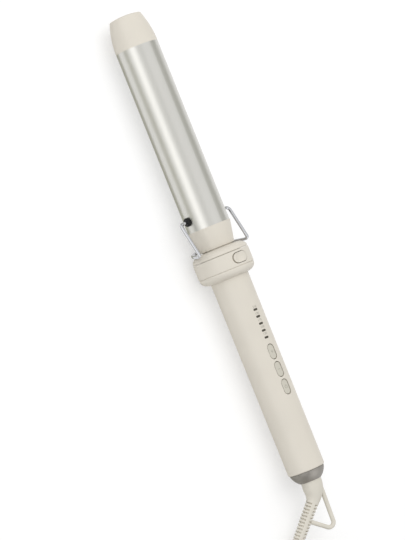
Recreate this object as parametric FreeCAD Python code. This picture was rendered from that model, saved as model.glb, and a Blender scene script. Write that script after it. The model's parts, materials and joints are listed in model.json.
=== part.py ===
import FreeCAD, Part
import math
import os

V = FreeCAD.Vector

# Multi hair styler: a heated barrel head with a wire stand on a quick release handle
# The axis runs along X with the tip towards -X, the buttons face +Z, and the ring rests on Z = 0

# Stack along the axis, from the tip
TIP_LENGTH = 24.7
BARREL_LENGTH = 139.2
CONE_LENGTH = 16.1
CONE_GAP = 0.8
DOME_LENGTH = 5.5
BAND_LENGTH = 11.7
FLARE_LENGTH = 6.0
HANDLE_LENGTH = 148.8
CAP_LENGTH = 8.0

# Fits and cuts
FIT_GAP = 0.1
SLIDE_GAP = 0.2
RUN_GAP = 0.08
PART_GAP = 0.2
OVERRUN = 2.0
EDGE_CHAMFER = 0.35

# Cool tip
TIP_FACE_R = 12.3
TIP_DOME = 1.2
TIP_EDGE = 1.6
TIP_FLOOR = 11.0
TIP_WALL = 2.0
TIP_SPIGOT = 6.0

# Barrel and heater
BARREL_R = 16.0
BARREL_WALL = 1.3
SHELL_TIP_GAP = 8.0
SHELL_STAND_GAP = 9.5
SHELL_WALL = 2.2
PAD_WIDTH = 15.0
PAD_THICK = 2.0
RIB_THICK = 3.0
HEATER_MARGIN = 10.0
HEATER_WIDTH = 12.0
HEATER_THICK = 3.2
SENSOR_R = 1.1
SENSOR_LENGTH = 7.0
FUSE_R = 1.6
FUSE_LENGTH = 11.0
SENSOR_SIDE = 4.6

# Cone and head collar
CONE_STEP = 0.4
CONE_END_STEP = 1.7
CONE_WALL = 2.0
CONE_SPIGOT = 4.0
CONE_PLATE = 3.0
CONE_HOLE_EDGE = 1.35
NECK_EDGE = 2.75
DOME_TOP_STEP = 1.4
DOME_LAND = 0.5
DOME_PLATE = 3.5
LINE_STEP = 0.3
SPIGOT_WALL = 4.5
SPIGOT_PAST_RING = 1.3
KEYWAY_GAP = 0.4
KEYWAY_FLOOR_GAP = 0.6
SCREW_WALL_GAP = 0.6
SCREW_COUNT = 3
SCREW_R = 1.25
SCREW_HEAD_R = 2.3
SCREW_HEAD = 1.6
SCREW_BITE = 2.4

# Plug-in contacts between head and handle
BLOCK_LENGTH = 5.0
CONTACT_WALL_GAP = 2.1
CONTACT_COUNT = 4
CONTACT_R = 1.0
CONTACT_BACK = 2.0
CONTACT_OUT = 6.5
CONTACT_HOLE_GAP = 0.35
TULIP_WALL = 0.7
TULIP_LENGTH = 7.0

# Wire stand and its bushes
WIRE_R = 1.25
PIVOT_GAP = 1.3
STAND_SIDE_GAP = 1.5
BAIL_PAST_DOME = 1.5
BAIL_CONE_GAP = 0.9
STAND_BEND_R = 2.8
BAIL_LEAN = 10.0
BAIL_START = 14.0
BUSH_R = 3.3
BUSH_PROUD = 2.4
BUSH_EDGE = 1.1
BUSH_STEM_R = 2.3
BUSH_NUT_R = 3.2
BUSH_NUT = 2.2
BUSH_FLOOR = 0.8

# Lock ring and release button
RING_R = 21.2
RING_WALL = 6.0
SOCKET_FLOOR_GAP = 0.4
SOCKET_PLATE = 3.0
FLARE_LAND = 0.6
RELEASE_LENGTH = 12.0
RELEASE_MARGIN = 2.15
RELEASE_GAP = 0.12
RELEASE_SIDE_GAP = 0.45
RELEASE_SLIT = 1.2
RELEASE_RECESS = 0.05
RELEASE_DISH = 1.1
RELEASE_DISH_R = 9.0
RELEASE_DISH_SIDE = 1.2
RELEASE_TRAVEL = 1.0
RELEASE_FLANGE = 0.9
RELEASE_END_FLANGE = 1.7
RELEASE_FLANGE_THICK = 1.5
NOSE_LENGTH = 3.5
NOSE_WIDTH = 4.0
NOSE_REACH = 1.1
NOSE_GAP = 0.3
SPRING_R = 1.0
SPRING_WALL = 0.35
SPRING_SIDE_GAP = 0.2

# Handle tube, keys and lights
HANDLE_END_R = 13.95
HANDLE_TAPER = 0.35
HANDLE_WALL = 2.0
HANDLE_ROUND = 0.9
NECK_PLUG = 12.0
NECK_WALL = 2.35
BOSS_LED_GAP = 5.4
LED_PITCH = 5.36
LED_COUNT = 5
LED_WIDTH = 1.65
LED_LENGTH = 3.9
LENS_STRIP_WIDTH = 6.0
LENS_STRIP_THICK = 1.0
LENS_SIT = 0.12
DIODE_LENGTH = 1.6
DIODE_THICK = 0.7
LED_KEY_SPACE = 10.96
KEY_SPACE = 1.6
KEY_LENGTH = 10.9
KEY_WIDTH = 5.3
KEY_MOAT = 0.5
KEY_RECESS = 0.25
KEY_EDGE = 0.3
KEY_TRAVEL = 0.6
KEY_DEPTH = 4.0
KEY_FLANGE = 1.0
KEY_FLANGE_THICK = 1.0
KEY_FLANGE_TRIM = 1.2

# Chassis and board
CHASSIS_NECK_GAP = 1.0
CHASSIS_TAIL_GAP = 2.6
CHASSIS_WALL = 1.6
BOARD_SEAT = 3.6
BOARD_MARGIN = 2.5
BOARD_GAP = 0.46
BOARD_THICK = 1.6
BOSS_R = 2.6
BOSS_FROM_NECK = 9.0
BOSS_FROM_TAIL = 6.5
SWITCH_SIZE = 4.6
PLUNGER_OUT = 0.95
PLUNGER_R = 1.2

# Tail cap and cord swivel
CAP_STEP = 0.85
CAP_LIP_EDGE = 0.35
CAP_BULGE = 0.8
CAP_ROUND = 0.55
CAP_SPIGOT = 3.5
CAP_WALL = 1.45
CAP_LIP = 4.5
BOOT_R = 7.6
BOOT_GAP = 0.15
FLANGE_GAP = 0.2
FLANGE_THICK = 2.5
STEM_R = 5.0
STEM_BORE_R = 3.2
SLIP_THICK = 0.9
SLIP_WIDTH = 3.0
SLIP_SPACE = 2.5
SLIP_FROM_END = 2.0
SLIP_CLEAR = 2.8
BUSH_DISC = 4.0
BUSH_DISC_GAP = 0.4
BRUSH_GAP = 0.15
BRUSH_THICK = 0.5
BRUSH_WIDTH = 3.0

# Cord boot with its ribs and hanging loop
BOOT_ROLL = 20.0
BOOT_BEND = 44.2
BOOT_REACH = 15.0
BOOT_SWAY = 5.1
RIB_R = 4.65
RIB_END_R = 4.1
RIB_CORE_R = 3.3
RIB_COUNT = 15
RIB_PITCH = 2.5
RIB_SLOT = 1.15
RIB_BRIDGE = 2.6
RIB_SLEEVE = 2.5
LOOP_ROD_R = 1.65
LOOP_ROOT = 7.6
LOOP_ROOT_SIDE = 5.4
LOOP_CORNER = 40.2
LOOP_CORNER_SIDE = 4.3
LOOP_CORNER_R = 3.6
LOOP_ON_RIBS = 14.0
# Each section of the bend: shares of reach, sway, bend and of the taper still to come
NECK_SHARES = [
    (0.00, 0.00, 0.00, 1.00),
    (0.30, 0.06, 0.18, 0.98),
    (0.55, 0.28, 0.50, 0.78),
    (0.80, 0.62, 0.88, 0.34),
    (1.00, 1.00, 1.00, 0.00),
]

# Mains cord, put away as a tied coil
CORD_R = 3.0
TURN_GAP = 0.6
COIL_INNER_R = 27.8
COIL_QUARTERS = [7, 6, 6, 7]
TIE_THICK = 1.0
TIE_GAP = 0.3
TIE_WIDTH = 9.0
TIE_CORNER = 2.6
TIE_ANGLES = [150.0, -25.0]
FILL_SHARE = 0.48
LEAD_RUN = 12.0
TAIL_RUN = 6.0
# The rest of the lead on the floor, past the run that leaves the boot: x, y and height
LEAD_ROUTE = [(245.6, -44.0, 4.3), (256.8, -48.1, 4.3)]
# The free end past its first run, from the top of the coil down to the plug: x, y and height
TAIL_ROUTE = [
    (283.2, -56.2, 22.6),
    (304.3, -53.5, 17.4),
    (313.9, -49.4, 14.2),
    (322.0, -42.7, 11.2),
    (327.7, -33.9, 8.6),
    (330.6, -24.0, 7.0),
    (330.6, -18.0, 7.0),
]

# Plug
PLUG_SLEEVE = 8.0
PLUG_SLEEVE_R = 4.4
PLUG_REAR_WIDTH = 12.0
PLUG_REAR_THICK = 10.0
PLUG_SIDE = 1.5
PLUG_THICK = 14.0
PLUG_SHOULDER = 10.0
PLUG_FACE = 14.0
PLUG_CORNER = 4.0
PLUG_PIN_R = 2.0
PLUG_PIN_LENGTH = 19.0
PLUG_PIN_SPACING = 19.0
PLUG_PIN_ROOT = 6.0
PLUG_PIN_ROOT_R = 1.6

# Shares that make one curve of four points follow a quarter ellipse, and a shallow arc end level
QUARTER_SHARE = 0.5523
LEVEL_SHARE = 0.25

# Places along the axis
OVERALL = (TIP_LENGTH + BARREL_LENGTH + CONE_LENGTH + CONE_GAP + DOME_LENGTH
           + BAND_LENGTH + FLARE_LENGTH + HANDLE_LENGTH + CAP_LENGTH)
X_TIP = -OVERALL / 2
X_BARREL = X_TIP + TIP_LENGTH
X_CONE = X_BARREL + BARREL_LENGTH
X_GAP = X_CONE + CONE_LENGTH
X_DOME = X_GAP + CONE_GAP
X_BAND = X_DOME + DOME_LENGTH
X_FLARE = X_BAND + BAND_LENGTH
X_HANDLE = X_FLARE + FLARE_LENGTH
X_CAP = X_HANDLE + HANDLE_LENGTH
X_END = X_CAP + CAP_LENGTH
X_PIVOT = X_CONE - CONE_SPIGOT - PIVOT_GAP - BUSH_NUT_R
X_LOCK = X_BAND + PART_GAP
X_RELEASE = (X_LOCK + X_FLARE) / 2
X_SPIGOT_END = X_FLARE + SPIGOT_PAST_RING
X_SOCKET = X_SPIGOT_END + SOCKET_FLOOR_GAP
X_LIP = X_END - CAP_LIP
X_FLANGE = X_LIP - FLANGE_GAP
X_DISC = X_CAP - CAP_SPIGOT - BUSH_DISC_GAP - BUSH_DISC
X_STEM = X_DISC - SLIP_CLEAR - 2 * SLIP_WIDTH - SLIP_SPACE - SLIP_FROM_END
X_CHASSIS = X_HANDLE + NECK_PLUG + CHASSIS_NECK_GAP
X_LED = X_CHASSIS + BOSS_FROM_NECK + BOSS_LED_GAP
X_KEY = X_LED + (LED_COUNT - 1) * LED_PITCH + LED_KEY_SPACE
X_SHELL = X_BARREL + TIP_SPIGOT + SHELL_TIP_GAP
FLOOR = -RING_R

# Radii and heights that follow from the sizes above
BARREL_BORE_R = BARREL_R - BARREL_WALL
SPIGOT_IN_BARREL_R = BARREL_BORE_R - FIT_GAP
DOME_R = RING_R - LINE_STEP
SOCKET_R = RING_R - RING_WALL
SPIGOT_R = SOCKET_R - SLIDE_GAP
SPIGOT_BORE_R = SPIGOT_R - SPIGOT_WALL
SHELL_LENGTH = X_PIVOT - BUSH_NUT_R - SHELL_STAND_GAP - X_SHELL
CONE_TOP_R = BARREL_R + CONE_STEP
SCREW_CIRCLE_R = SPIGOT_BORE_R - SCREW_HEAD_R - SCREW_WALL_GAP
CONE_HOLE_R = SCREW_CIRCLE_R - SCREW_R - CONE_HOLE_EDGE
NECK_R = SCREW_CIRCLE_R + SCREW_R + NECK_EDGE
CONE_END_R = NECK_R + CONE_END_STEP
DOME_TOP_R = NECK_R + DOME_TOP_STEP
STAND_HALF_WIDTH = RING_R + WIRE_R + STAND_SIDE_GAP
RELEASE_WIDTH = BAND_LENGTH - 2 * RELEASE_MARGIN
HANDLE_R = HANDLE_END_R + HANDLE_TAPER
HANDLE_BORE_R = HANDLE_END_R - HANDLE_WALL
PLUG_IN_HANDLE_R = HANDLE_BORE_R - FIT_GAP
NECK_BORE_R = PLUG_IN_HANDLE_R - NECK_WALL
TULIP_R = CONTACT_R + FIT_GAP + TULIP_WALL
CONTACT_CIRCLE_R = NECK_BORE_R - TULIP_R - CONTACT_WALL_GAP
CAP_R = HANDLE_END_R - CAP_STEP
CAP_BORE_R = PLUG_IN_HANDLE_R - CAP_WALL
CHASSIS_LENGTH = X_STEM - CHASSIS_TAIL_GAP - X_CHASSIS
BOARD_TOP = BOARD_SEAT + BOARD_THICK
BOARD_WIDTH = 2 * (math.sqrt(HANDLE_BORE_R ** 2 - BOARD_TOP ** 2) - BOARD_GAP)
KEY_FLOOR = HANDLE_END_R - KEY_DEPTH
KEY_PITCH = KEY_LENGTH + 2 * KEY_MOAT + KEY_SPACE
SWITCH_RISE = KEY_FLOOR - KEY_TRAVEL - FIT_GAP - BOARD_TOP
FLANGE_FLOOR = SPIGOT_R + RELEASE_TRAVEL + NOSE_GAP
FLANGE_TOP = FLANGE_FLOOR + RELEASE_FLANGE_THICK
POCKET_FLOOR = math.sqrt(SOCKET_R ** 2 - (NOSE_WIDTH / 2 + NOSE_GAP) ** 2)
RIB_LENGTH = RIB_COUNT * RIB_PITCH + RIB_SLEEVE
CORD_STEP = 2 * CORD_R + TURN_GAP
COIL_OUTER_R = COIL_INNER_R + CORD_STEP * COIL_QUARTERS[0] / 4
PLUG_WIDTH = PLUG_PIN_SPACING + 2 * (PLUG_PIN_R + PLUG_SIDE)


def p(x, r):
    return V(x, 0, r)


def line(a, b):
    return Part.LineSegment(a, b).toShape()


def arc(a, via, b):
    return Part.Arc(a, via, b).toShape()


def quarter(a, corner, b):
    curve = Part.BezierCurve()
    curve.setPoles([a, a + (corner - a) * QUARTER_SHARE, b + (corner - b) * QUARTER_SHARE, b])
    return curve.toShape()


def bulge(a, b, sag):
    chord = b - a
    outward = V(-chord.z, 0, chord.x).normalize()
    return arc(a, (a + b) / 2 + outward * sag, b)


def turned(*edges):
    # Edges of a half section, with straight lines across any gaps, turned about the axis
    closed = []
    for edge, following in zip(edges, edges[1:] + edges[:1]):
        end = edge.Vertexes[-1].Point
        start = following.Vertexes[0].Point
        closed.append(edge)
        if not end.isEqual(start, FIT_GAP / 100):
            closed.append(line(end, start))
    return Part.Face(Part.Wire(closed)).revolve(V(), V(1, 0, 0), 360)


def lathe(*points):
    return turned(*[line(a, b) for a, b in zip(points, points[1:])])


def rod(x, length, r, y=0, z=0):
    return Part.makeCylinder(r, length, V(x, y, z), V(1, 0, 0))


def post(x, z, height, r, y=0):
    return Part.makeCylinder(r, height, V(x, y, z), V(0, 0, 1))


def tube(x, length, outer_r, inner_r, y=0, z=0):
    bore = rod(x - OVERRUN, length + 2 * OVERRUN, inner_r, y, z)
    return rod(x, length, outer_r, y, z).cut(bore)


def block(x, y, z, length, width, height):
    return Part.makeBox(length, width, height, V(x - length / 2, y - width / 2, z))


def stadium(x, z, length, width, height):
    # Upright prism with round ends, long along X, its foot at z
    r = width / 2
    half = length / 2 - r
    outline = [
        line(V(x - half, -r, z), V(x + half, -r, z)),
        arc(V(x + half, -r, z), V(x + half + r, 0, z), V(x + half, r, z)),
        line(V(x + half, r, z), V(x - half, r, z)),
        arc(V(x - half, r, z), V(x - half - r, 0, z), V(x - half, -r, z)),
    ]
    return Part.Face(Part.Wire(outline)).extrude(V(0, 0, height))


def across(x, z, length, width, height):
    prism = stadium(x, z, length, width, height)
    prism.rotate(V(x, 0, 0), V(0, 0, 1), 90)
    return prism


def circle_places(count, radius, first_angle):
    for k in range(count):
        angle = math.radians(first_angle + 360 * k / count)
        yield radius * math.cos(angle), radius * math.sin(angle)


def arc_by_corner(a, corner, b):
    middle = (a + b) / 2
    rise = (corner - middle).Length
    half = (b - a).Length / 2
    sag = half * math.tan(math.atan2(rise, half) / 2)
    return arc(a, middle + (corner - middle) * (sag / rise), b)


def biarc(a, along_a, b, along_b):
    # Two tangent arcs that leave a and reach b along the given directions
    span = b - a
    both = along_a + along_b
    slack = 4 - both.dot(both)
    reach = span.dot(both)
    side = (math.sqrt(reach ** 2 + slack * span.dot(span)) - reach) / slack
    first = a + along_a * side
    second = b - along_b * side
    meet = (first + second) / 2
    return [arc_by_corner(a, first, meet), arc_by_corner(meet, second, b)]


def rounded(points, radii):
    # Straight runs joined by tangent arcs
    edges = []
    here = points[0]
    for before, corner, after, radius in zip(points, points[1:], points[2:], radii):
        back = (before - corner).normalize()
        onward = (after - corner).normalize()
        turn = math.pi - back.getAngle(onward)
        start = corner + back * (radius * math.tan(turn / 2))
        end = corner + onward * (radius * math.tan(turn / 2))
        edges.append(line(here, start))
        edges.append(arc_by_corner(start, corner, end))
        here = end
    edges.append(line(here, points[-1]))
    return Part.Wire(edges)


def swept(path, r):
    first = path.OrderedEdges[0]
    start = path.OrderedVertexes[0].Point
    along = first.tangentAt(first.FirstParameter)
    ring = Part.Wire(Part.Circle(start, along, r).toShape())
    return path.makePipeShell([ring], True, False)


def save(node, *solids):
    shape = solids[0] if len(solids) == 1 else Part.makeCompound(solids)
    shape.translate(V(0, 0, -FLOOR))
    shape.exportStep(f"parts/{node}.step")


def handle_r(x):
    share = (x - X_HANDLE) / HANDLE_LENGTH
    return HANDLE_R + (HANDLE_END_R - HANDLE_R) * share


def screw(x, y, z, shank):
    head = rod(x, SCREW_HEAD, SCREW_HEAD_R, y, z)
    return head.fuse(rod(x - shank, shank + SCREW_HEAD / 2, SCREW_R, y, z)).removeSplitter()


def cool_tip():
    face = p(X_TIP + TIP_DOME, TIP_FACE_R - TIP_EDGE)
    shoulder = p(X_TIP + TIP_DOME + TIP_EDGE, TIP_FACE_R)
    base = p(X_BARREL, BARREL_R)
    bore_r = SPIGOT_IN_BARREL_R - TIP_WALL
    spigot_end = X_BARREL + TIP_SPIGOT
    return turned(
        bulge(p(X_TIP, 0), face, TIP_DOME * LEVEL_SHARE),
        quarter(face, p(X_TIP + TIP_DOME, TIP_FACE_R), shoulder),
        bulge(shoulder, base, (BARREL_R - TIP_FACE_R) * LEVEL_SHARE),
        line(base, p(X_BARREL, SPIGOT_IN_BARREL_R)),
        line(p(X_BARREL, SPIGOT_IN_BARREL_R), p(spigot_end, SPIGOT_IN_BARREL_R)),
        line(p(spigot_end, bore_r), p(X_TIP + TIP_FLOOR, bore_r)),
        line(p(X_TIP + TIP_FLOOR, bore_r), p(X_TIP + TIP_FLOOR, 0)),
    )


def barrel_tube():
    hole_r = BUSH_STEM_R + FIT_GAP
    width = 2 * (BARREL_R + OVERRUN)
    holes = Part.makeCylinder(hole_r, width, V(X_PIVOT, -width / 2, 0), V(0, 1, 0))
    return tube(X_BARREL, BARREL_LENGTH, BARREL_R, BARREL_BORE_R).cut(holes)


def heater_shell(turn):
    x = X_SHELL
    outer_r = BARREL_BORE_R - SLIDE_GAP
    pad_foot = HEATER_THICK / 2 + FIT_GAP
    upper = block(x + SHELL_LENGTH / 2, 0, pad_foot, SHELL_LENGTH, 2 * outer_r, outer_r)
    arch = tube(x, SHELL_LENGTH, outer_r, outer_r - SHELL_WALL).common(upper)
    pad = block(x + SHELL_LENGTH / 2, 0, pad_foot, SHELL_LENGTH, PAD_WIDTH, PAD_THICK)
    rib_rise = outer_r - SHELL_WALL / 2 - pad_foot
    rib = block(x + SHELL_LENGTH / 2, 0, pad_foot, SHELL_LENGTH, RIB_THICK, rib_rise)
    shell = arch.fuse([pad, rib]).removeSplitter()
    shell.rotate(V(), V(1, 0, 0), turn)
    return shell


def ptc_heater():
    length = SHELL_LENGTH - 2 * HEATER_MARGIN
    return block(X_SHELL + SHELL_LENGTH / 2, 0, -HEATER_THICK / 2, length, HEATER_WIDTH,
                 HEATER_THICK)


def heat_sensor(r, length, side):
    # A round part that lies on a heater pad, above it for side 1 and below it for side -1
    x = X_SHELL + (SHELL_LENGTH - length) / 2
    z = HEATER_THICK / 2 + FIT_GAP + PAD_THICK + FIT_GAP + r
    return rod(x, length, r, SENSOR_SIDE, side * z)


def stand_bush(side):
    # Turned about the pivot line, then cut to sit on the round barrel
    foot = math.sqrt(BARREL_R ** 2 - BUSH_R ** 2)
    proud = BARREL_R + BUSH_PROUD
    nut_top = math.sqrt(BARREL_BORE_R ** 2 - BUSH_NUT_R ** 2)
    nut_foot = nut_top - BUSH_NUT
    bore_r = WIRE_R + RUN_GAP
    section = [
        (nut_foot, 0), (nut_foot, BUSH_NUT_R), (nut_top, BUSH_NUT_R), (nut_top, BUSH_STEM_R),
        (foot, BUSH_STEM_R), (foot, BUSH_R), (proud - BUSH_EDGE, BUSH_R),
    ]
    edges = [line(p(*a), p(*b)) for a, b in zip(section, section[1:])]
    rim = p(proud, BUSH_R - BUSH_EDGE)
    edges.append(quarter(p(*section[-1]), p(proud, BUSH_R), rim))
    edges.append(line(rim, p(proud, bore_r)))
    edges.append(line(p(proud, bore_r), p(nut_foot + BUSH_FLOOR, bore_r)))
    edges.append(line(p(nut_foot + BUSH_FLOOR, bore_r), p(nut_foot + BUSH_FLOOR, 0)))
    bush = turned(*edges)
    bush.rotate(V(), V(0, 0, 1), 90 * side)
    bush.translate(V(X_PIVOT, 0, 0))
    seat = tube(X_PIVOT - BARREL_R, 2 * BARREL_R, BARREL_R, BARREL_R - BARREL_WALL)
    stem = Part.makeCylinder(BUSH_STEM_R, BARREL_R, V(X_PIVOT, 0, 0), V(0, side, 0))
    return bush.cut(seat.cut(stem))


def stand_wire():
    # The arms reach past the collar's dome, so high that the bail clears the cone
    back = math.radians(BAIL_LEAN)
    down = V(-math.sin(back), 0, -math.cos(back))
    pivot = V(X_PIVOT, 0, 0)
    rise = STAND_HALF_WIDTH * math.cos(back) - CONE_END_R - WIRE_R - BAIL_CONE_GAP
    elbow = V(X_DOME + BAIL_PAST_DOME, 0, rise)
    arm = (elbow - pivot).Length
    along = (elbow - pivot).normalize()
    start = math.radians(BAIL_START)
    inner = math.sqrt(BARREL_BORE_R ** 2 - BUSH_NUT_R ** 2) - BUSH_NUT + BUSH_FLOOR + SLIDE_GAP

    def bail(angle):
        side = V(0, 1, 0) * math.cos(angle)
        return elbow + (side + down * math.sin(angle)) * STAND_HALF_WIDTH

    def half(side):
        out = V(0, side, 0)
        root = pivot + out * inner
        turn_in = pivot + out * (STAND_HALF_WIDTH - STAND_BEND_R)
        turn_out = pivot + out * STAND_HALF_WIDTH + along * STAND_BEND_R
        arm_end = pivot + out * STAND_HALF_WIDTH + along * (arm - STAND_BEND_R)
        bail_from = bail(start if side > 0 else math.pi - start)
        bail_along = out * -math.sin(start) + down * math.cos(start)
        return ([line(root, turn_in)] + biarc(turn_in, out, turn_out, along)
                + [line(turn_out, arm_end)] + biarc(arm_end, along, bail_from, bail_along))

    hoop = arc(bail(start), bail(math.pi / 2), bail(math.pi - start))
    edges = Part.sortEdges(half(1) + [hoop] + half(-1))[0]
    return swept(Part.Wire(edges), WIRE_R)


def head_screws():
    x = X_DOME + DOME_PLATE
    shank = DOME_PLATE + CONE_GAP + SCREW_BITE
    return [screw(x, y, z, shank) for y, z in circle_places(SCREW_COUNT, SCREW_CIRCLE_R, 90)]


def screw_holes(x, length):
    places = circle_places(SCREW_COUNT, SCREW_CIRCLE_R, 90)
    return [rod(x, length, SCREW_R + FIT_GAP, y, z) for y, z in places]


def barrel_cone():
    inner = X_CONE - CONE_SPIGOT
    cone = lathe(
        p(inner, SPIGOT_IN_BARREL_R - CONE_WALL), p(inner, SPIGOT_IN_BARREL_R),
        p(X_CONE, SPIGOT_IN_BARREL_R), p(X_CONE, CONE_TOP_R), p(X_GAP, CONE_END_R),
        p(X_GAP, CONE_HOLE_R), p(X_GAP - CONE_PLATE, CONE_HOLE_R),
        p(X_GAP - CONE_PLATE, CONE_END_R - CONE_WALL),
    )
    return cone.cut(screw_holes(X_GAP - CONE_PLATE - OVERRUN, CONE_PLATE + 2 * OVERRUN))


def head_collar():
    edge_r = DOME_R - EDGE_CHAMFER
    top = p(X_DOME, DOME_TOP_R)
    side = p(X_BAND - DOME_LAND - EDGE_CHAMFER, DOME_R)
    plate = X_DOME + DOME_PLATE
    ring = turned(
        line(p(X_GAP, CONE_HOLE_R), p(X_GAP, NECK_R)),
        line(p(X_GAP, NECK_R), p(X_DOME, NECK_R)),
        line(p(X_DOME, NECK_R), top),
        quarter(top, p(X_DOME, DOME_R), side),
        line(side, p(X_BAND - EDGE_CHAMFER, DOME_R)),
        line(p(X_BAND, edge_r), p(X_BAND, SPIGOT_R)),
        line(p(X_BAND, SPIGOT_R), p(X_SPIGOT_END, SPIGOT_R)),
        line(p(X_SPIGOT_END, SPIGOT_BORE_R), p(plate, SPIGOT_BORE_R)),
        line(p(plate, SPIGOT_BORE_R), p(plate, CONE_HOLE_R)),
    )
    start = X_RELEASE - NOSE_LENGTH / 2 - NOSE_GAP
    length = X_SPIGOT_END + OVERRUN - start
    depth = NOSE_REACH + RELEASE_TRAVEL + KEYWAY_FLOOR_GAP
    keyway = block(start + length / 2, 0, SPIGOT_R - depth, length, NOSE_WIDTH + 2 * KEYWAY_GAP,
                   SPIGOT_R)
    return ring.cut([keyway] + screw_holes(X_GAP - OVERRUN, DOME_PLATE + 2 * OVERRUN))


def contact_places():
    return list(circle_places(CONTACT_COUNT, CONTACT_CIRCLE_R, 45))


def connector_block():
    x = X_SPIGOT_END - BLOCK_LENGTH
    body = rod(x, BLOCK_LENGTH, SPIGOT_BORE_R - FIT_GAP)
    hole = CONTACT_R + FIT_GAP
    return body.cut([rod(x - OVERRUN, BLOCK_LENGTH + 2 * OVERRUN, hole, y, z)
                     for y, z in contact_places()])


def connector_pins():
    x = X_SPIGOT_END - BLOCK_LENGTH - CONTACT_BACK
    length = CONTACT_BACK + BLOCK_LENGTH + CONTACT_OUT
    pins = []
    for y, z in contact_places():
        shank = rod(x, length - CONTACT_R, CONTACT_R, y, z)
        nose = Part.makeSphere(CONTACT_R, V(x + length - CONTACT_R, y, z))
        pins.append(shank.fuse(nose).removeSplitter())
    return pins


def lock_ring():
    ring = lathe(
        p(X_LOCK, SOCKET_R), p(X_LOCK, RING_R - EDGE_CHAMFER), p(X_LOCK + EDGE_CHAMFER, RING_R),
        p(X_FLARE - EDGE_CHAMFER, RING_R), p(X_FLARE, RING_R - EDGE_CHAMFER), p(X_FLARE, SOCKET_R),
    )
    # The slit round the button is widest at its front end
    window = across(X_RELEASE, FLANGE_TOP, RELEASE_LENGTH + RELEASE_SLIT + RELEASE_GAP,
                    RELEASE_WIDTH + 2 * RELEASE_SIDE_GAP, RING_R)
    window.translate(V(0, (RELEASE_GAP - RELEASE_SLIT) / 2, 0))
    pocket = across(X_RELEASE, POCKET_FLOOR, RELEASE_LENGTH + 2 * (RELEASE_END_FLANGE + PART_GAP),
                    RELEASE_WIDTH + 2 * (RELEASE_FLANGE + PART_GAP), FLANGE_TOP + SLIDE_GAP - POCKET_FLOOR)
    slot = block(X_RELEASE, 0, 0, NOSE_LENGTH + 2 * NOSE_GAP, NOSE_WIDTH + 2 * NOSE_GAP,
                 FLANGE_FLOOR)
    return ring.cut([window, pocket, slot])


def release_button():
    skin = rod(X_BAND, BAND_LENGTH, RING_R - RELEASE_RECESS)
    cap = across(X_RELEASE, FLANGE_FLOOR, RELEASE_LENGTH, RELEASE_WIDTH, RING_R).common(skin)
    dish_foot = RING_R - RELEASE_RECESS - RELEASE_DISH
    dish = Part.makeSphere(RELEASE_DISH_R, V(X_RELEASE, -RELEASE_DISH_SIDE, dish_foot + RELEASE_DISH_R))
    cap = cap.cut(dish)
    flange = across(X_RELEASE, FLANGE_FLOOR, RELEASE_LENGTH + 2 * RELEASE_END_FLANGE,
                    RELEASE_WIDTH + 2 * RELEASE_FLANGE, RELEASE_FLANGE_THICK)
    foot = SPIGOT_R - NOSE_REACH
    nose = block(X_RELEASE, 0, foot, NOSE_LENGTH, NOSE_WIDTH, FLANGE_TOP - foot)
    return cap.fuse([flange, nose]).removeSplitter()


def release_springs():
    side = RELEASE_LENGTH / 2 + RELEASE_FLANGE - SPRING_R - SPRING_SIDE_GAP
    height = FLANGE_FLOOR - POCKET_FLOOR
    springs = []
    for y in (-side, side):
        wall = post(X_RELEASE, POCKET_FLOOR, height, SPRING_R, y)
        springs.append(wall.cut(post(X_RELEASE, POCKET_FLOOR, height, SPRING_R - SPRING_WALL, y)))
    return springs


def handle_neck():
    land = p(X_FLARE + EDGE_CHAMFER + FLARE_LAND, DOME_R)
    root = p(X_HANDLE, HANDLE_R - HANDLE_ROUND)
    plug_end = X_HANDLE + NECK_PLUG
    plate = X_SOCKET + SOCKET_PLATE
    neck = turned(
        line(p(X_SOCKET, 0), p(X_SOCKET, SOCKET_R)),
        line(p(X_SOCKET, SOCKET_R), p(X_FLARE, SOCKET_R)),
        line(p(X_FLARE, SOCKET_R), p(X_FLARE, DOME_R - EDGE_CHAMFER)),
        line(p(X_FLARE + EDGE_CHAMFER, DOME_R), land),
        quarter(land, p(X_HANDLE, DOME_R), root),
        line(root, p(X_HANDLE, PLUG_IN_HANDLE_R)),
        line(p(X_HANDLE, PLUG_IN_HANDLE_R), p(plug_end, PLUG_IN_HANDLE_R)),
        line(p(plug_end, NECK_BORE_R), p(plate, NECK_BORE_R)),
        line(p(plate, NECK_BORE_R), p(plate, 0)),
    )
    hole = CONTACT_R + CONTACT_HOLE_GAP
    return neck.cut([rod(X_SOCKET - OVERRUN, SOCKET_PLATE + 2 * OVERRUN, hole, y, z)
                     for y, z in contact_places()])


def socket_contacts():
    return [tube(X_SOCKET + SOCKET_PLATE, TULIP_LENGTH, TULIP_R, TULIP_R - TULIP_WALL, y, z)
            for y, z in contact_places()]


def led_places():
    return [X_LED + LED_PITCH * k for k in range(LED_COUNT)]


def key_place(k):
    return X_KEY + KEY_PITCH * k


def handle_tube():
    shoulder = p(X_CAP - HANDLE_ROUND, HANDLE_END_R)
    rim = p(X_CAP, HANDLE_END_R - HANDLE_ROUND)
    shell = turned(
        line(p(X_HANDLE, HANDLE_BORE_R), p(X_HANDLE, HANDLE_R)),
        line(p(X_HANDLE, HANDLE_R), shoulder),
        quarter(shoulder, p(X_CAP, HANDLE_END_R), rim),
        line(rim, p(X_CAP, HANDLE_BORE_R)),
    )
    windows = [across(x, 0, LED_LENGTH, LED_WIDTH, HANDLE_R + OVERRUN) for x in led_places()]
    for k in range(3):
        windows.append(stadium(key_place(k), 0, KEY_LENGTH + 2 * KEY_MOAT,
                               KEY_WIDTH + 2 * KEY_MOAT, HANDLE_R + OVERRUN))
    return shell.cut(windows)


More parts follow.
